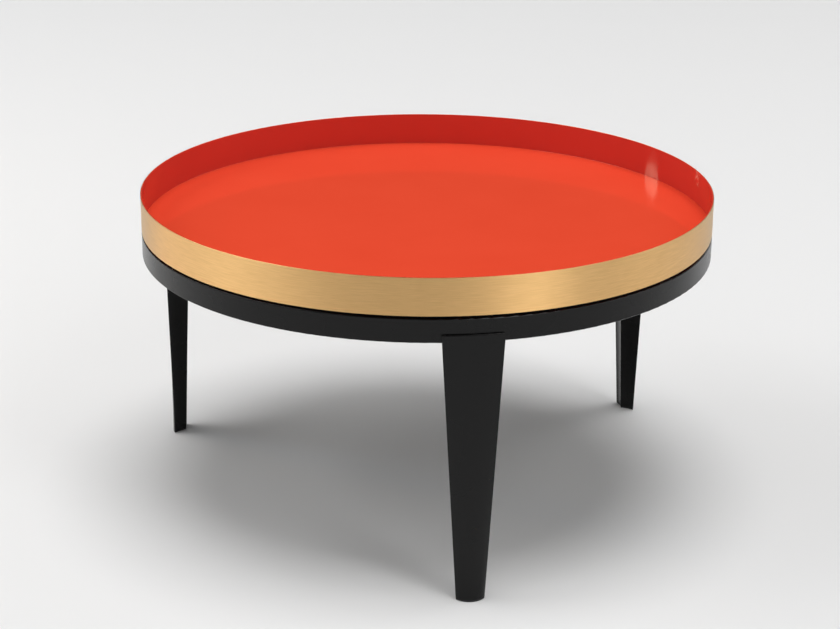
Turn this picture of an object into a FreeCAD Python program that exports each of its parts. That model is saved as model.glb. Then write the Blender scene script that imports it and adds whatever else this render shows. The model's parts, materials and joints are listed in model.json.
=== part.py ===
"""Round cocktail table: a brass-banded lacquered tray that lifts off a ring base on three tapered legs.

Millimetres, +Z up, origin on the floor under the tray's centre.
"""
import FreeCAD, Part
import math
import os
import re

import Sketcher

# Driving sizes in millimetres, angles in degrees, and counts.
SIZES = {
    "table_height": 438.0,
    # Lacquered tray with its brass band and the board under it
    "tray_radius": 400.0,
    "tray_depth": 47.0,
    "band_height": 50.0,
    "band_thickness": 0.8,
    "bond_gap": 0.1,
    "pan_thickness": 1.0,
    "pan_corner_radius": 0.6,
    "rim_round": 0.3,
    "board_thickness": 12.0,
    "board_clearance": 3.0,
    "board_chamfer": 2.0,
    # Base ring of flat bar
    "shadow_gap": 3.5,
    "ring_height": 32.0,
    "ring_thickness": 5.0,
    "ring_edge_round": 1.5,
    "weld_gap": 0.2,
    # Tabs in the ring that carry the tray on push-in bumpers
    "tab_count": 6,
    "tab_length": 40.0,
    "tab_width": 30.0,
    "tab_thickness": 4.0,
    "tab_corner_radius": 8.0,
    "bumper_inset": 12.0,
    "bumper_height": 5.0,
    "bumper_head_radius": 9.0,
    "bumper_edge_round": 1.5,
    "bumper_neck_radius": 3.0,
    "bumper_neck_clearance": 0.05,
    "bumper_bulb_radius": 4.5,
    "bumper_bulb_length": 6.0,
    "bumper_tip_radius": 2.0,
    # Hollow tapered legs
    "leg_turn": 8.5,
    "leg_lap": 11.5,
    "leg_wall": 3.0,
    "leg_top_round": 1.5,
    "leg_top_width": 81.0,
    "leg_top_ridge": 23.0,
    "leg_top_flank_radius": 88.0,
    "leg_top_edge_wall": 12.0,
    "leg_foot_width": 38.0,
    "leg_foot_splay": 15.5,
    "leg_foot_crown": 9.8,
    "leg_foot_ridge": 9.0,
    "leg_foot_flank_radius": 32.0,
    "leg_foot_edge_wall": 4.5,
    "leg_ridge_wall": 3.5,
    # Closing plate and web at a leg's top, moulded insert at its foot
    "cap_thickness": 3.0,
    "cap_inset": 1.0,
    "gusset_thickness": 4.0,
    "gusset_setback": 3.0,
    "foot_flange": 2.5,
    "foot_flange_inset": 0.2,
    "foot_flange_round": 0.6,
    "foot_plug": 14.0,
    "foot_plug_clearance": 0.3,
    # How far a cut runs past the solid
    "cut_overrun": 5.0,
}

LEG_NAMES = ("front", "right", "left")

# Heights and radii that several pieces share, as formulas of the driving sizes.
TRAY_FLOOR = "(table_height - tray_depth)"
PAN_RADIUS = "(tray_radius - band_thickness - bond_gap)"
PAN_UNDERSIDE = f"({TRAY_FLOOR} - pan_thickness)"
BOARD_UNDERSIDE = f"({PAN_UNDERSIDE} - board_thickness)"
RING_TOP = "(table_height - band_height - shadow_gap)"
RING_BOTTOM = f"({RING_TOP} - ring_height)"
RING_INSIDE = "(tray_radius - ring_thickness)"
TAB_OUTSIDE = f"({RING_INSIDE} - weld_gap)"
TAB_TOP = f"({BOARD_UNDERSIDE} - bumper_height)"
TAB_UNDERSIDE = f"({TAB_TOP} - tab_thickness)"
BUMPER_RADIUS = f"({TAB_OUTSIDE} - tab_length + bumper_inset)"
NECK_HOLE_RADIUS = "(bumper_neck_radius + bumper_neck_clearance)"
LEG_TOP = f"({RING_BOTTOM} + leg_lap)"
LEG_SEAT = "(tray_radius + weld_gap)"
CAP_UNDERSIDE = f"({RING_BOTTOM} - cap_thickness)"
LEG_LENGTH = f"({LEG_TOP} - foot_flange)"
FOOT_REACH = "(tray_radius + leg_foot_splay)"
FOOT_FACE_RADIUS = "(((leg_foot_width / 2)^2 + leg_foot_crown^2) / (2 * leg_foot_crown))"
# How far down a leg the cap lies, and how far up from its foot the plug reaches
CAP_SHARE = f"((leg_lap + cap_thickness) / {LEG_LENGTH})"
PLUG_SHARE = f"(foot_plug / {LEG_LENGTH})"

doc = FreeCAD.newDocument("CocktailTable")
sheet = doc.addObject("Spreadsheet::Sheet", "Sizes")
for row, (alias, size) in enumerate(SIZES.items(), start=1):
    sheet.set(f"A{row}", alias)
    sheet.set(f"B{row}", str(size))
    sheet.setAlias(f"B{row}", alias)
doc.recompute()


def bound(formula):
    """The formula with each driving size's name pointing at its cell."""
    return re.sub(r"[a-z]\w*", lambda word: f"Sizes.{word[0]}" if word[0] in SIZES else word[0], formula)


def amount(formula):
    """The formula's value."""
    return float(sheet.evalExpression(bound(formula)))


def new_body(label, turn="0"):
    """A body turned about the table's axis by the formula's angle."""
    body = doc.addObject("PartDesign::Body", label)
    body.Label = label
    body.setExpression("Placement", f"placement(vector(0; 0; 0); rotation(vector(0; 0; 1); {bound(turn)}))")
    return body


def new_sketch(body, role, offset="0"):
    """An empty sketch on one of the body's own planes, moved along that plane's normal."""
    sketch = body.newObject("Sketcher::SketchObject", f"{body.Label}_sketch")
    plane = next(item for item in body.Origin.OriginFeatures if item.Role == role)
    sketch.AttachmentSupport = [(plane, "")]
    sketch.MapMode = "FlatFace"
    sketch.setExpression("AttachmentOffset.Base.z", bound(offset))
    return sketch


def constrain(sketch, kind, places, formula):
    """Add a dimension to the sketch and bind it to its formula."""
    index = sketch.addConstraint(Sketcher.Constraint(kind, *places, amount(formula)))
    sketch.setExpression(f"Constraints[{index}]", bound(formula))


def pin_point(sketch, place, corner):
    """Fix a point of the sketch at a corner given as two formulas."""
    axes = (("DistanceX", -2), ("DistanceY", -1))
    for (kind, axis), formula in zip(axes, corner):
        value = amount(formula)
        if value == 0:
            sketch.addConstraint(Sketcher.Constraint("PointOnObject", *place, axis))
        elif value > 0:
            constrain(sketch, kind, (-1, 1, *place), formula)
        else:
            constrain(sketch, kind, (*place, -1, 1), f"-({formula})")


def arc_between(start, end, radius, left):
    """The short arc from start to end, with its centre on the left or the right of that way."""
    middle = (start + end) / 2
    along = end - start
    across = FreeCAD.Vector(-along.y, along.x, 0).normalize()
    reach = math.sqrt(radius**2 - (along.Length / 2) ** 2)
    centre = middle + across * (reach if left else -reach)
    circle = Part.Circle(centre, FreeCAD.Vector(0, 0, 1), radius)
    first, last = (start, end) if left else (end, start)
    return Part.ArcOfCircle(circle, circle.parameter(first), circle.parameter(last))


def draw_outline(sketch, corners, arcs=None):
    """Close an outline through the corners; arcs gives an edge's radius and the side of its centre."""
    arcs = arcs or {}
    points = [FreeCAD.Vector(amount(x), amount(y), 0) for x, y in corners]
    ends = []
    for edge, start in enumerate(points):
        end = points[(edge + 1) % len(points)]
        if edge in arcs:
            radius, left = arcs[edge]
            geometry = sketch.addGeometry(arc_between(start, end, amount(radius), left))
            ends.append(((geometry, 1), (geometry, 2)) if left else ((geometry, 2), (geometry, 1)))
        else:
            geometry = sketch.addGeometry(Part.LineSegment(start, end))
            ends.append(((geometry, 1), (geometry, 2)))
    for edge, (first, _) in enumerate(ends):
        sketch.addConstraint(Sketcher.Constraint("Coincident", *ends[edge - 1][1], *first))
        pin_point(sketch, first, corners[edge])
    for edge, (radius, _) in arcs.items():
        constrain(sketch, "Radius", (ends[edge][0][0],), radius)


def draw_circle(sketch, corner, radius):
    """A full circle about a corner given as two formulas."""
    centre = FreeCAD.Vector(amount(corner[0]), amount(corner[1]), 0)
    circle = Part.Circle(centre, FreeCAD.Vector(0, 0, 1), amount(radius))
    geometry = sketch.addGeometry(circle)
    pin_point(sketch, (geometry, 3), corner)
    constrain(sketch, "Radius", (geometry,), radius)


def pad(body, sketch, length, midplane=False):
    feature = body.newObject("PartDesign::Pad", f"{body.Label}_pad")
    feature.Profile = sketch
    feature.Midplane = midplane
    feature.setExpression("Length", bound(length))
    return feature


def spin(body, sketch, kind="PartDesign::Revolution"):
    """Turn a sketch on the XZ plane fully about the table's axis, or cut that shape away as a groove."""
    feature = body.newObject(kind, f"{body.Label}_{kind.split('::')[1].lower()}")
    feature.Profile = sketch
    feature.ReferenceAxis = (sketch, ["V_Axis"])
    feature.Angle = 360
    return feature


def loft(body, first, last, kind):
    """A straight-sided taper from one section to the other, added or cut away."""
    feature = body.newObject(kind, f"{body.Label}_{kind.split('::')[1].lower()}")
    feature.Profile = first
    feature.Sections = [last]
    feature.Ruled = True
    return feature


def ease_edges(body, base, kind, prop, formula, wanted):
    """Round or chamfer the base's edges that the test picks out."""
    doc.recompute()
    names = [f"Edge{i}" for i, edge in enumerate(base.Shape.Edges, start=1) if wanted(edge)]
    feature = body.newObject(kind, f"{body.Label}_{kind.split('::')[1].lower()}")
    feature.Base = (base, names)
    feature.setExpression(prop, bound(formula))
    return feature


def round_edges(body, base, radius, wanted):
    return ease_edges(body, base, "PartDesign::Fillet", "Radius", radius, wanted)


def chamfer_edges(body, base, size, wanted):
    return ease_edges(body, base, "PartDesign::Chamfer", "Size", size, wanted)


def is_circle(edge, radius, height):
    """Is the edge a level circle about the table's axis, of this radius at this height?"""
    curve = edge.Curve
    return (
        isinstance(curve, Part.Circle)
        and math.isclose(curve.Radius, amount(radius))
        and math.isclose(curve.Center.z, amount(height))
    )


def rectangle(inside, outside, bottom, top):
    """Corners of an upright section between two radii and two heights."""
    return [(inside, bottom), (outside, bottom), (outside, top), (inside, top)]


def make_band():
    """Brass hoop round the tray, its top edges eased."""
    body = new_body("tray_band")
    bottom = "(table_height - band_height)"
    sketch = new_sketch(body, "XZ_Plane")
    draw_outline(sketch, rectangle("tray_radius - band_thickness", "tray_radius", bottom, "table_height"))
    hoop = spin(body, sketch)
    round_edges(body, hoop, "rim_round", lambda edge: is_circle(edge, "tray_radius", "table_height"))
    return body


def make_pan():
    """Lacquered sheet pan: flat floor, upright wall and a rounded corner between them."""
    body = new_body("tray_pan")
    inside = f"({PAN_RADIUS} - pan_thickness)"
    sketch = new_sketch(body, "XZ_Plane")
    draw_outline(sketch, [
        ("0", PAN_UNDERSIDE),
        (PAN_RADIUS, PAN_UNDERSIDE),
        (PAN_RADIUS, "table_height"),
        (inside, "table_height"),
        (inside, TRAY_FLOOR),
        ("0", TRAY_FLOOR),
    ])
    shell = spin(body, sketch)
    corner = round_edges(
        body, shell, "pan_corner_radius", lambda edge: is_circle(edge, inside, TRAY_FLOOR)
    )
    bend = round_edges(
        body, corner, "pan_corner_radius + pan_thickness",
        lambda edge: is_circle(edge, PAN_RADIUS, PAN_UNDERSIDE),
    )
    round_edges(body, bend, "rim_round", lambda edge: is_circle(edge, inside, "table_height"))
    return body


def make_board():
    """Backing board under the pan, which drops inside the ring and centres the tray."""
    body = new_body("tray_board")
    sketch = new_sketch(body, "XY_Plane", BOARD_UNDERSIDE)
    radius = f"({RING_INSIDE} - board_clearance)"
    draw_circle(sketch, ("0", "0"), radius)
    disc = pad(body, sketch, "board_thickness")
    chamfer_edges(body, disc, "board_chamfer", lambda edge: is_circle(edge, radius, BOARD_UNDERSIDE))
    return body


def make_ring():
    """Rolled flat bar under the tray's edge, with eased edges."""
    body = new_body("base_ring")
    sketch = new_sketch(body, "XZ_Plane")
    draw_outline(sketch, rectangle(RING_INSIDE, "tray_radius", RING_BOTTOM, RING_TOP))
    bar = spin(body, sketch)
    round_edges(body, bar, "ring_edge_round", lambda edge: isinstance(edge.Curve, Part.Circle))
    return body


def make_tab(number, turn):
    """Flat tab welded inside the ring, rounded at its free end, with a hole for its bumper."""
    body = new_body(f"support_tab_{number}", turn)
    sketch = new_sketch(body, "XY_Plane", TAB_UNDERSIDE)
    side = "(tab_width / 2)"
    shoulder = f"({side} - tab_corner_radius)"
    tip = f"({TAB_OUTSIDE} - tab_length)"
    outside = f"sqrt({TAB_OUTSIDE}^2 - {side}^2)"
    corners = [
        (outside, f"-{side}"),
        (outside, side),
        (f"{tip} + tab_corner_radius", side),
        (tip, shoulder),
        (tip, f"-{shoulder}"),
        (f"{tip} + tab_corner_radius", f"-{side}"),
    ]
    arcs = {0: (TAB_OUTSIDE, True), 2: ("tab_corner_radius", True), 4: ("tab_corner_radius", True)}
    draw_outline(sketch, corners, arcs)
    draw_circle(sketch, (BUMPER_RADIUS, "0"), NECK_HOLE_RADIUS)
    pad(body, sketch, "tab_thickness")
    return body


def make_bumper(number, turn):
    """Push-in rubber bumper: round head on the tab, neck through its hole, bulb below that holds it."""
    body = new_body(f"bumper_{number}", turn)
    profile = [
        ("0", BOARD_UNDERSIDE),
        ("bumper_head_radius - bumper_edge_round", BOARD_UNDERSIDE),
        ("bumper_head_radius", f"{BOARD_UNDERSIDE} - bumper_edge_round"),
        ("bumper_head_radius", TAB_TOP),
        ("bumper_neck_radius", TAB_TOP),
        ("bumper_neck_radius", TAB_UNDERSIDE),
        ("bumper_bulb_radius", TAB_UNDERSIDE),
        ("bumper_tip_radius", f"{TAB_UNDERSIDE} - bumper_bulb_length"),
        ("0", f"{TAB_UNDERSIDE} - bumper_bulb_length"),
    ]
    sketch = new_sketch(body, "XZ_Plane")
    draw_outline(sketch, profile, {1: ("bumper_edge_round", False)})
    spin(body, sketch)
    spot = f"vector(({BUMPER_RADIUS}) * cos({turn}); ({BUMPER_RADIUS}) * sin({turn}); 0)"
    body.setExpression("Placement", bound(f"placement({spot}; rotation(vector(0; 0; 1); {turn}))"))
    return body


def leg_section(body, height, face_radius, crest, half_width, ridge, flank_radius):
    """Leg section: convex outer face, then two hollow flanks that meet at a ridge on the inner side."""
    edge = f"({crest} - {face_radius} + sqrt(({face_radius})^2 - ({half_width})^2))"
    sketch = new_sketch(body, "XY_Plane", height)
    corners = [(edge, f"-({half_width})"), (edge, half_width), (ridge, "0")]
    arcs = {0: (face_radius, True), 1: (flank_radius, False), 2: (flank_radius, False)}
    draw_outline(sketch, corners, arcs)
    return sketch


# The ridge's distance from the table's axis at a leg's top and at its foot
TOP_FACE_RADIUS = f"({LEG_SEAT} + leg_wall)"
TOP_RIDGE = f"(sqrt({TOP_FACE_RADIUS}^2 - (leg_top_width / 2)^2) - leg_top_ridge)"
FOOT_RIDGE = f"({FOOT_REACH} - leg_foot_crown - leg_foot_ridge)"


def foot_section(body, height, inset):
    """The leg's section at its foot, drawn in by the inset."""
    return leg_section(
        body, height, f"({FOOT_FACE_RADIUS} - {inset})", f"({FOOT_REACH} - {inset})",
        f"(leg_foot_width / 2 - {inset})", f"({FOOT_RIDGE} + {inset})", f"(leg_foot_flank_radius + {inset})",
    )


def foot_hollow(body, height, inset, lean="0"):
    """The hollow at the foot, drawn in by the inset (twice that at the sharp edges) and moved by the lean."""
    wall = f"(leg_wall + {inset})"
    return leg_section(
        body, height, f"({FOOT_FACE_RADIUS} - {wall})", f"({FOOT_REACH} - {wall} + {lean})",
        f"(leg_foot_width / 2 - leg_foot_edge_wall - 2 * {inset})",
        f"({FOOT_RIDGE} + leg_ridge_wall + {inset} + {lean})", f"(leg_foot_flank_radius + {wall})",
    )


def make_leg(name, turn):
    """Hollow leg that tapers and curls towards its foot; an eased tongue at its top laps the ring."""
    body = new_body(f"leg_{name}", turn)
    top = leg_section(
        body, LEG_TOP, TOP_FACE_RADIUS, TOP_FACE_RADIUS, "(leg_top_width / 2)", TOP_RIDGE,
        "leg_top_flank_radius",
    )
    foot = foot_section(body, "foot_flange", "0")
    loft(body, top, foot, "PartDesign::AdditiveLoft")
    top_hollow = leg_section(
        body, LEG_TOP, LEG_SEAT, LEG_SEAT, "(leg_top_width / 2 - leg_top_edge_wall)",
        f"({TOP_RIDGE} + leg_ridge_wall)", "(leg_top_flank_radius + leg_wall)",
    )
    hollow = foot_hollow(body, "foot_flange", "0")
    loft(body, top_hollow, hollow, "PartDesign::SubtractiveLoft")
    notch = new_sketch(body, "XZ_Plane")
    inside = f"({TOP_RIDGE} - cut_overrun)"
    draw_outline(notch, rectangle(inside, LEG_SEAT, CAP_UNDERSIDE, f"{LEG_TOP} + cut_overrun"))
    seat = spin(body, notch, "PartDesign::Groove")
    round_edges(
        body, seat, "min(leg_top_round; leg_wall / 2)",
        lambda edge: is_circle(edge, TOP_FACE_RADIUS, LEG_TOP),
    )
    return body


def make_cap(name, turn):
    """Plate that closes a leg's top under the ring."""
    body = new_body(f"leg_cap_{name}", turn)
    half_width = f"((leg_top_width + {CAP_SHARE} * (leg_foot_width - leg_top_width)) / 2 - cap_inset)"
    ridge = f"({TOP_RIDGE} + {CAP_SHARE} * ({FOOT_RIDGE} - {TOP_RIDGE}) + cap_inset)"
    sketch = leg_section(
        body, CAP_UNDERSIDE, "tray_radius", "tray_radius", half_width, ridge, "leg_top_flank_radius"
    )
    pad(body, sketch, "cap_thickness")
    return body


def make_gusset(name, turn):
    """Upright web between a leg's cap, the ring and the tab above."""
    body = new_body(f"leg_gusset_{name}", turn)
    sketch = new_sketch(body, "XZ_Plane")
    draw_outline(sketch, [
        (f"{TOP_RIDGE} + leg_ridge_wall + gusset_setback", RING_BOTTOM),
        (TAB_OUTSIDE, RING_BOTTOM),
        (TAB_OUTSIDE, TAB_UNDERSIDE),
        (f"{BUMPER_RADIUS} + bumper_bulb_radius + gusset_setback", TAB_UNDERSIDE),
    ])
    pad(body, sketch, "gusset_thickness", midplane=True)
    return body


def make_foot(name, turn):
    """Moulded insert: a flange that the leg stands on and a plug that follows the leg's lean inside it."""
    body = new_body(f"foot_insert_{name}", turn)
    flange = pad(body, foot_section(body, "0", "foot_flange_inset"), "foot_flange")
    round_edges(
        body, flange, "foot_flange_round",
        lambda edge: math.isclose(edge.CenterOfMass.z, 0, abs_tol=edge.Length * 1e-9),
    )
    lean = f"({PLUG_SHARE} * ({LEG_SEAT} - ({FOOT_REACH} - leg_wall)))"
    root = foot_hollow(body, "foot_flange", "foot_plug_clearance")
    tip = foot_hollow(body, "foot_flange + foot_plug", "foot_plug_clearance", lean)
    loft(body, root, tip, "PartDesign::AdditiveLoft")
    return body


def check_and_write(bodies):
    """Stop on a failed feature or a bad solid; otherwise write one file for each piece."""
    doc.recompute()
    failed = [item.Name for item in doc.Objects if {"Invalid", "Error"} & set(item.State)]
    bad = [body.Label for body in bodies if body.Shape.isNull() or not body.Shape.isValid()]
    split = [body.Label for body in bodies if len(body.Shape.Solids) != 1]
    if failed or bad or split:
        raise RuntimeError(f"failed features {failed}, bad shapes {bad}, not one solid {split}")
    os.makedirs("parts", exist_ok=True)
    for body in bodies:
        body.Shape.exportStep(f"parts/{body.Label}.step")


first_leg = "(leg_turn - 90)"
pieces = [make_band(), make_pan(), make_board(), make_ring()]
for place in range(SIZES["tab_count"]):
    tab_turn = f"({first_leg} + {place} * 360 / tab_count)"
    pieces += [make_tab(place + 1, tab_turn), make_bumper(place + 1, tab_turn)]
for place, leg_name in enumerate(LEG_NAMES):
    turn = f"({first_leg} + {place} * 360 / {len(LEG_NAMES)})"
    pieces += [make(leg_name, turn) for make in (make_leg, make_cap, make_gusset, make_foot)]
check_and_write(pieces)
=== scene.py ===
"""Looks of the round cocktail table: finishes, studio stage and camera.

Metres, in the part's own frame.
"""
import json
import math

import bpy
from mathutils import Matrix, Vector


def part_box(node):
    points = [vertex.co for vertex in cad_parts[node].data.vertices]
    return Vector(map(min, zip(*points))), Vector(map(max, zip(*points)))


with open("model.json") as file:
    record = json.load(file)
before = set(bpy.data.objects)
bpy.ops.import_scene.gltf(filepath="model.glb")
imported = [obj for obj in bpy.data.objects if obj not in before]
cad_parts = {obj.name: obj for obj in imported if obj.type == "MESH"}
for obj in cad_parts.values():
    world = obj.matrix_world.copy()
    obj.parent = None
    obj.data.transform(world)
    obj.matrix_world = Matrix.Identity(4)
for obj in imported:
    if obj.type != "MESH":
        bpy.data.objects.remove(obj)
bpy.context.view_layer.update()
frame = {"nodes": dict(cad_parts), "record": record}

# Camera: where it stands, how it is turned, and its focal length in pixels of the 840 x 629 picture
IMAGE_WIDTH_PX = 840
FOCAL_PX = 2056.5
SENSOR_WIDTH_MM = 36.0
EYE = Vector((0.0, -2.7775, 1.2566))
YAW_DEG = -0.180
PITCH_DEG = 20.014
ROLL_DEG = 0.400

# Finishes: colours and roughness run from a first to a second value over the middle of a noise's range.
# Marks are features of the noise per metre along x, y and z, and depths are relief in metres.
MIDDLE_START = 0.3
MIDDLE_END = 0.7
SOFT_DETAIL = 2.0

LACQUER_SPECULAR = 0.17
LACQUER_LEVEL_COLOURS = ((0.805, 0.0725, 0.0313), (0.825, 0.077, 0.0338))
# Painted shade: the upright wall gets a darker colour than the level floor, for the wall's lesser light
# from above
LACQUER_WALL_PAINTED_SHADE_COLOURS = ((0.655, 0.050, 0.034), (0.675, 0.054, 0.037))
LACQUER_ROUGHNESS = (0.036, 0.044)
LACQUER_FLOW_MARKS = (9.0, 9.0, 9.0)
LACQUER_PEEL_MARKS = (140.0, 140.0, 140.0)
LACQUER_PEEL_DEPTH = 0.000004

BRASS_ANISOTROPY = 0.93
BRASS_BRUSH_TURN = 0.25
BRASS_COAT = 0.25
BRASS_COAT_ROUGHNESS = 0.30
BRASS_COLOURS = ((0.87, 0.528, 0.208), (1.00, 0.665, 0.297))
BRASS_ROUGHNESS = (0.45, 0.59)
BRASS_STREAK_MARKS = (40.0, 40.0, 1500.0)
BRASS_STREAK_DETAIL = 4.0
BRASS_SCRATCH_MARKS = (50.0, 50.0, 2600.0)
BRASS_SCRATCH_DETAIL = 3.0
BRASS_SCRATCH_DEPTH = 0.000015

POWDER_IOR = 1.33
POWDER_COLOURS = ((0.0010, 0.0010, 0.0011), (0.0018, 0.0017, 0.0017))
POWDER_ROUGHNESS = (0.24, 0.30)
POWDER_PATCH_MARKS = (14.0, 14.0, 14.0)
POWDER_PEEL_MARKS = (650.0, 650.0, 650.0)
POWDER_PEEL_DETAIL = 1.0
POWDER_PEEL_DEPTH = 0.00002

BOARD_COLOURS = ((0.011, 0.010, 0.009), (0.020, 0.018, 0.016))
BOARD_ROUGHNESS = (0.62, 0.78)
BOARD_STIPPLE_MARKS = (420.0, 420.0, 420.0)
BOARD_STIPPLE_DETAIL = 3.0
BOARD_STIPPLE_DEPTH = 0.00012

RUBBER_COLOURS = ((0.012, 0.012, 0.012), (0.026, 0.025, 0.025))
RUBBER_ROUGHNESS = (0.70, 0.85)
RUBBER_BLOOM_MARKS = (260.0, 260.0, 260.0)
RUBBER_BLOOM_DETAIL = 3.0
RUBBER_GRAIN_MARKS = (1400.0, 1400.0, 1400.0)
RUBBER_GRAIN_DEPTH = 0.00003

PLASTIC_COLOURS = ((0.008, 0.008, 0.008), (0.014, 0.014, 0.014))
PLASTIC_ROUGHNESS = (0.48, 0.60)
PLASTIC_GRAIN_MARKS = (1700.0, 1700.0, 1700.0)
PLASTIC_GRAIN_DEPTH = 0.00003

# Stage: the sky's tones are keyed by a component of the direction looked in, up or to the back
FLOOR_RADIUS = 40.0
FLOOR_SIDES = 96
FLOOR_DROP = 0.0002
FLOOR_TONE = 0.80
FLOOR_ROUGHNESS = 0.6
FLOOR_SPECULAR = 0.2
HORIZON_TONES = {0.0: 0.85, 0.10: 0.78, 0.18: 0.0}
SKY_TONES = {0.0: 0.15, 0.08: 0.05, 0.45: 0.05, 0.80: 0.004}

# Lamps: azimuths run from the front towards the right, distances are from the tray's centre
KEY_STRENGTH = 1.98
KEY_WIDTH_DEG = 38.0
KEY_AZIMUTH_DEG = 90.0
KEY_ELEVATION_DEG = 86.5
SOFTBOX_DISTANCE = 7.0
SOFTBOX_HEIGHT = 4.4
# Softboxes that light the surfaces: azimuth and elevation in degrees, width in metres, power in watts
FILL_SOFTBOXES = {
    "left_front_fill": (-62.0, 36.0, 3.4, 35.0),
    "left_fill": (-92.0, 36.0, 3.4, 118.0),
    "left_back_fill": (-122.0, 36.0, 3.4, 44.0),
    "right_front_fill": (43.0, 36.0, 2.0, 88.0),
    "right_back_fill": (114.0, 36.0, 3.4, 62.0),
}
# Softboxes that are only mirrored: they stand where they gleam on the band,
# and high enough to stay out of the lacquer's mirror in most views
GLEAM_SOFTBOXES = {
    "left_front_gleam": (-70.0, 49.0, 3.4, 41.0),
    "left_gleam": (-106.0, 48.0, 5.2, 285.0),
    "right_front_gleam": (49.5, 49.0, 2.0, 154.0),
    "right_back_gleam": (116.0, 42.0, 6.0, 130.0),
}
# Small warm strip that makes the streak on the tray's wall
STRIP_AZIMUTH_DEG = -116.3
STRIP_ELEVATION_DEG = 17.0
STRIP_DISTANCE = 3.0
STRIP_SIZE = (0.48, 0.105)
STRIP_ENERGY = 2.90
STRIP_COLOUR = (1.0, 0.78, 0.55)

TRAY_CENTRE = (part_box("tray_pan")[0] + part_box("tray_pan")[1]) / 2


def new_material(name):
    """A node material and its main shader."""
    material = bpy.data.materials.new(name)
    material.use_nodes = True
    return material, material.node_tree, material.node_tree.nodes["Principled BSDF"]


def object_coords(tree, marks):
    """The piece's own coordinates, each axis times its marks per metre."""
    coords = tree.nodes.new("ShaderNodeTexCoord")
    mapping = tree.nodes.new("ShaderNodeMapping")
    mapping.inputs["Scale"].default_value = marks
    tree.links.new(coords.outputs["Object"], mapping.inputs["Vector"])
    return mapping.outputs["Vector"]


def noise(tree, marks, detail=SOFT_DETAIL):
    """Soft noise between 0 and 1 with that many marks per metre along each axis."""
    node = tree.nodes.new("ShaderNodeTexNoise")
    node.inputs["Scale"].default_value = 1.0
    node.inputs["Detail"].default_value = detail
    tree.links.new(object_coords(tree, marks), node.inputs["Vector"])
    return node.outputs["Fac"]


def shade_between(tree, factor, dark, light):
    """A colour that runs from dark to light over the middle of the factor's range."""
    ramp = tree.nodes.new("ShaderNodeValToRGB")
    first, last = ramp.color_ramp.elements
    first.position, first.color = MIDDLE_START, (*dark, 1.0)
    last.position, last.color = MIDDLE_END, (*light, 1.0)
    tree.links.new(factor, ramp.inputs["Fac"])
    return ramp.outputs["Color"]


def value_between(tree, factor, low, high):
    """A number that runs from low to high over the middle of the factor's range."""
    node = tree.nodes.new("ShaderNodeMapRange")
    node.inputs["From Min"].default_value = MIDDLE_START
    node.inputs["From Max"].default_value = MIDDLE_END
    node.inputs["To Min"].default_value = low
    node.inputs["To Max"].default_value = high
    tree.links.new(factor, node.inputs["Value"])
    return node.outputs["Result"]


def vary(tree, shader, factor, colours, roughness):
    """Let the shader's colour and roughness follow a noise."""
    tree.links.new(shade_between(tree, factor, *colours), shader.inputs["Base Color"])
    tree.links.new(value_between(tree, factor, *roughness), shader.inputs["Roughness"])


def bump(tree, shader, height, depth):
    """Relief of that depth from a height between 0 and 1."""
    node = tree.nodes.new("ShaderNodeBump")
    node.inputs["Distance"].default_value = depth
    tree.links.new(height, node.inputs["Height"])
    tree.links.new(node.outputs["Normal"], shader.inputs["Normal"])


def make_lacquer():
    """Gloss red-orange lacquer with painted shade on the upright wall, whose colour is darker than the
    level floor's by the slope of the surface, and a faint flow in colour and surface.
    """
    material, tree, shader = new_material("gloss_red_lacquer")
    shader.inputs["Specular IOR Level"].default_value = LACQUER_SPECULAR
    flow = noise(tree, LACQUER_FLOW_MARKS)
    # Painted shade: the colour runs from the darker wall colours where the surface stands upright to the
    # level colours where it faces up
    surface = tree.nodes.new("ShaderNodeNewGeometry")
    slope = tree.nodes.new("ShaderNodeSeparateXYZ")
    colour = tree.nodes.new("ShaderNodeMix")
    colour.data_type = "RGBA"
    tree.links.new(surface.outputs["Normal"], slope.inputs["Vector"])
    tree.links.new(slope.outputs["Z"], colour.inputs["Factor"])
    tree.links.new(shade_between(tree, flow, *LACQUER_WALL_PAINTED_SHADE_COLOURS), colour.inputs["A"])
    tree.links.new(shade_between(tree, flow, *LACQUER_LEVEL_COLOURS), colour.inputs["B"])
    tree.links.new(colour.outputs["Result"], shader.inputs["Base Color"])
    tree.links.new(value_between(tree, flow, *LACQUER_ROUGHNESS), shader.inputs["Roughness"])
    bump(tree, shader, noise(tree, LACQUER_PEEL_MARKS), LACQUER_PEEL_DEPTH)
    return material


def make_brass():
    """Brass brushed along the hoop in fine short dashes, under a clear satin lacquer."""
    material, tree, shader = new_material("brushed_brass")
    shader.inputs["Metallic"].default_value = 1.0
    shader.inputs["Anisotropic"].default_value = BRASS_ANISOTROPY
    shader.inputs["Anisotropic Rotation"].default_value = BRASS_BRUSH_TURN
    shader.inputs["Coat Weight"].default_value = BRASS_COAT
    shader.inputs["Coat Roughness"].default_value = BRASS_COAT_ROUGHNESS
    streaks = noise(tree, BRASS_STREAK_MARKS, BRASS_STREAK_DETAIL)
    vary(tree, shader, streaks, BRASS_COLOURS, BRASS_ROUGHNESS)
    tangent = tree.nodes.new("ShaderNodeTangent")
    tangent.direction_type = "RADIAL"
    tangent.axis = "Z"
    tree.links.new(tangent.outputs["Tangent"], shader.inputs["Tangent"])
    scratches = noise(tree, BRASS_SCRATCH_MARKS, BRASS_SCRATCH_DETAIL)
    bump(tree, shader, scratches, BRASS_SCRATCH_DEPTH)
    return material


def make_powder_coat():
    """Satin black powder coat on steel, with its fine orange peel."""
    material, tree, shader = new_material("satin_black_powder_coat")
    shader.inputs["IOR"].default_value = POWDER_IOR
    vary(tree, shader, noise(tree, POWDER_PATCH_MARKS), POWDER_COLOURS, POWDER_ROUGHNESS)
    bump(tree, shader, noise(tree, POWDER_PEEL_MARKS, POWDER_PEEL_DETAIL), POWDER_PEEL_DEPTH)
    return material


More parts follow.
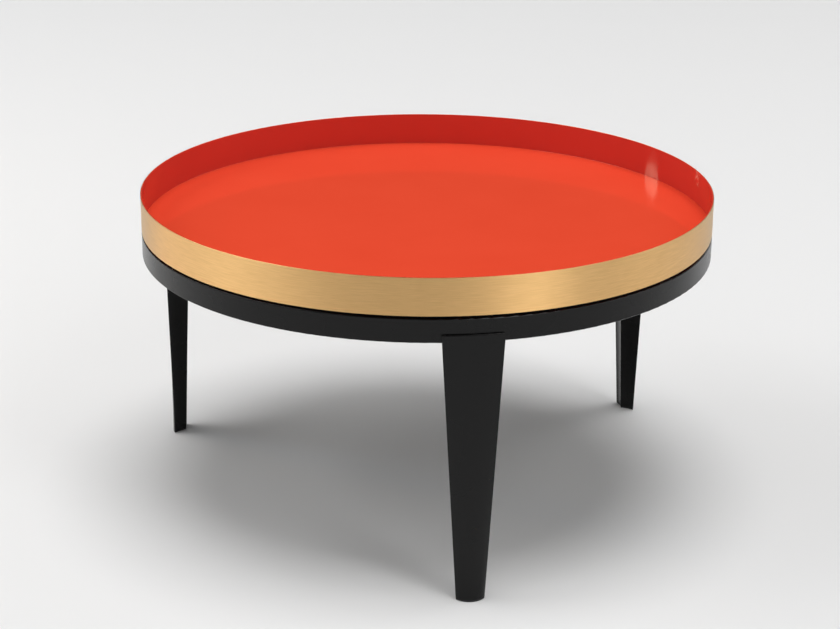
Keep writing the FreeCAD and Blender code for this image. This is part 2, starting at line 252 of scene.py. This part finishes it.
def make_board_paint():
    """Black paint rolled on a wood-fibre board."""
    material, tree, shader = new_material("black_board_paint")
    stipple = noise(tree, BOARD_STIPPLE_MARKS, BOARD_STIPPLE_DETAIL)
    vary(tree, shader, stipple, BOARD_COLOURS, BOARD_ROUGHNESS)
    bump(tree, shader, stipple, BOARD_STIPPLE_DEPTH)
    return material


def make_rubber():
    """Matte black rubber with a faint bloom."""
    material, tree, shader = new_material("matte_black_rubber")
    bloom = noise(tree, RUBBER_BLOOM_MARKS, RUBBER_BLOOM_DETAIL)
    vary(tree, shader, bloom, RUBBER_COLOURS, RUBBER_ROUGHNESS)
    bump(tree, shader, noise(tree, RUBBER_GRAIN_MARKS), RUBBER_GRAIN_DEPTH)
    return material


def make_plastic():
    """Moulded black plastic with a spark-eroded grain."""
    material, tree, shader = new_material("moulded_black_plastic")
    grain = noise(tree, PLASTIC_GRAIN_MARKS)
    vary(tree, shader, grain, PLASTIC_COLOURS, PLASTIC_ROUGHNESS)
    bump(tree, shader, grain, PLASTIC_GRAIN_DEPTH)
    return material


def dress_nodes():
    """Give every node the finish of its material slot."""
    finishes = {
        "red_lacquer": make_lacquer(),
        "brass": make_brass(),
        "black_steel": make_powder_coat(),
        "black_board": make_board_paint(),
        "black_rubber": make_rubber(),
        "black_plastic": make_plastic(),
    }
    for subpart in frame["record"]["subparts"]:
        for slot in frame["nodes"][subpart["node"]].material_slots:
            slot.material = finishes[subpart["material_slot"]]


def make_floor():
    """A wide pale floor that is clear from below, so that the table's underside can be looked at."""
    mesh = bpy.data.meshes.new("studio_floor")
    turns = [math.tau * side / FLOOR_SIDES for side in range(FLOOR_SIDES)]
    rim = [(FLOOR_RADIUS * math.cos(turn), FLOOR_RADIUS * math.sin(turn), 0.0) for turn in turns]
    mesh.from_pydata(rim, [], [list(range(FLOOR_SIDES))])
    floor = bpy.data.objects.new("studio_floor", mesh)
    floor.location.z = -FLOOR_DROP
    bpy.context.scene.collection.objects.link(floor)
    material, tree, shader = new_material("pale_floor")
    shader.inputs["Base Color"].default_value = (FLOOR_TONE, FLOOR_TONE, FLOOR_TONE, 1.0)
    shader.inputs["Roughness"].default_value = FLOOR_ROUGHNESS
    shader.inputs["Specular IOR Level"].default_value = FLOOR_SPECULAR
    clear = tree.nodes.new("ShaderNodeBsdfTransparent")
    side = tree.nodes.new("ShaderNodeNewGeometry")
    choice = tree.nodes.new("ShaderNodeMixShader")
    tree.links.new(side.outputs["Backfacing"], choice.inputs["Fac"])
    tree.links.new(shader.outputs["BSDF"], choice.inputs[1])
    tree.links.new(clear.outputs["BSDF"], choice.inputs[2])
    tree.links.new(choice.outputs["Shader"], tree.nodes["Material Output"].inputs["Surface"])
    mesh.materials.append(material)


def sky_part(tree, direction, tones):
    """A grey sky whose tone follows one component of the direction looked in."""
    ramp = tree.nodes.new("ShaderNodeValToRGB")
    elements = ramp.color_ramp.elements
    while len(elements) < len(tones):
        elements.new(1.0)
    for element, (position, tone) in zip(elements, tones.items()):
        element.position = position
        element.color = (tone, tone, tone, 1.0)
    glow = tree.nodes.new("ShaderNodeBackground")
    tree.links.new(direction, ramp.inputs["Fac"])
    tree.links.new(ramp.outputs["Color"], glow.inputs["Color"])
    return glow.outputs["Background"]


def make_sky():
    """Grey surroundings: a pale horizon, and a dim sky, lighter in front of the table than behind it."""
    world = bpy.data.worlds.new("studio_sky")
    bpy.context.scene.world = world
    world.use_nodes = True
    tree = world.node_tree
    coords = tree.nodes.new("ShaderNodeTexCoord")
    split = tree.nodes.new("ShaderNodeSeparateXYZ")
    total = tree.nodes.new("ShaderNodeAddShader")
    tree.links.new(coords.outputs["Generated"], split.inputs["Vector"])
    tree.links.new(sky_part(tree, split.outputs["Z"], HORIZON_TONES), total.inputs[0])
    tree.links.new(sky_part(tree, split.outputs["Y"], SKY_TONES), total.inputs[1])
    tree.links.new(total.outputs["Shader"], tree.nodes["World Output"].inputs["Surface"])


def add_lamp(name, kind, energy):
    """A lamp that doesn't itself show in the picture."""
    lamp = bpy.data.objects.new(name, bpy.data.lights.new(name, kind))
    lamp.data.energy = energy
    lamp.visible_camera = False
    bpy.context.scene.collection.objects.link(lamp)
    return lamp


def place_lamp(lamp, azimuth_deg, elevation_deg, distance):
    """Aim a lamp at the tray from that side; azimuth runs from the front towards the right."""
    azimuth, elevation = math.radians(azimuth_deg), math.radians(elevation_deg)
    level = math.cos(elevation)
    away = Vector((math.sin(azimuth) * level, -math.cos(azimuth) * level, math.sin(elevation)))
    lamp.location = TRAY_CENTRE + away * distance
    lamp.rotation_euler = away.to_track_quat("Z", "Y").to_euler()


def add_softbox(name, shape, width, height, energy):
    """A flat lamp of that shape and size."""
    lamp = add_lamp(name, "AREA", energy)
    lamp.data.shape = shape
    lamp.data.size = width
    lamp.data.size_y = height
    return lamp


def light_stage():
    """Soft key light from above, softboxes round the table and a small strip low on the left."""
    key = add_lamp("key_light", "SUN", KEY_STRENGTH)
    key.data.angle = math.radians(KEY_WIDTH_DEG)
    key.visible_glossy = False
    place_lamp(key, KEY_AZIMUTH_DEG, KEY_ELEVATION_DEG, SOFTBOX_DISTANCE)
    softboxes = {**FILL_SOFTBOXES, **GLEAM_SOFTBOXES}
    for name, (azimuth_deg, elevation_deg, width, energy) in softboxes.items():
        softbox = add_softbox(name, "RECTANGLE", width, SOFTBOX_HEIGHT, energy)
        softbox.visible_glossy = name in GLEAM_SOFTBOXES
        softbox.visible_diffuse = name in FILL_SOFTBOXES
        place_lamp(softbox, azimuth_deg, elevation_deg, SOFTBOX_DISTANCE)
    strip = add_softbox("strip_light", "ELLIPSE", *STRIP_SIZE, STRIP_ENERGY)
    strip.data.color = STRIP_COLOUR
    place_lamp(strip, STRIP_AZIMUTH_DEG, STRIP_ELEVATION_DEG, STRIP_DISTANCE)


def make_camera():
    """The camera at the photograph's own viewpoint."""
    yaw, pitch, roll = (math.radians(angle) for angle in (YAW_DEG, PITCH_DEG, ROLL_DEG))
    reach = math.cos(pitch)
    forward = Vector((math.sin(yaw) * reach, math.cos(yaw) * reach, -math.sin(pitch)))
    level = Vector((math.cos(yaw), -math.sin(yaw), 0.0))
    upright = level.cross(forward)
    across = math.cos(roll) * level + math.sin(roll) * upright
    above = math.cos(roll) * upright - math.sin(roll) * level
    camera = bpy.data.objects.new("camera", bpy.data.cameras.new("camera"))
    camera.data.sensor_width = SENSOR_WIDTH_MM
    camera.data.lens = FOCAL_PX * SENSOR_WIDTH_MM / IMAGE_WIDTH_PX
    turn = Matrix((across, above, -forward)).transposed().to_4x4()
    camera.matrix_world = Matrix.Translation(EYE) @ turn
    bpy.context.scene.collection.objects.link(camera)
    bpy.context.scene.camera = camera


dress_nodes()
make_floor()
make_sky()
light_stage()
make_camera()
bpy.context.scene.view_settings.view_transform = "Standard"
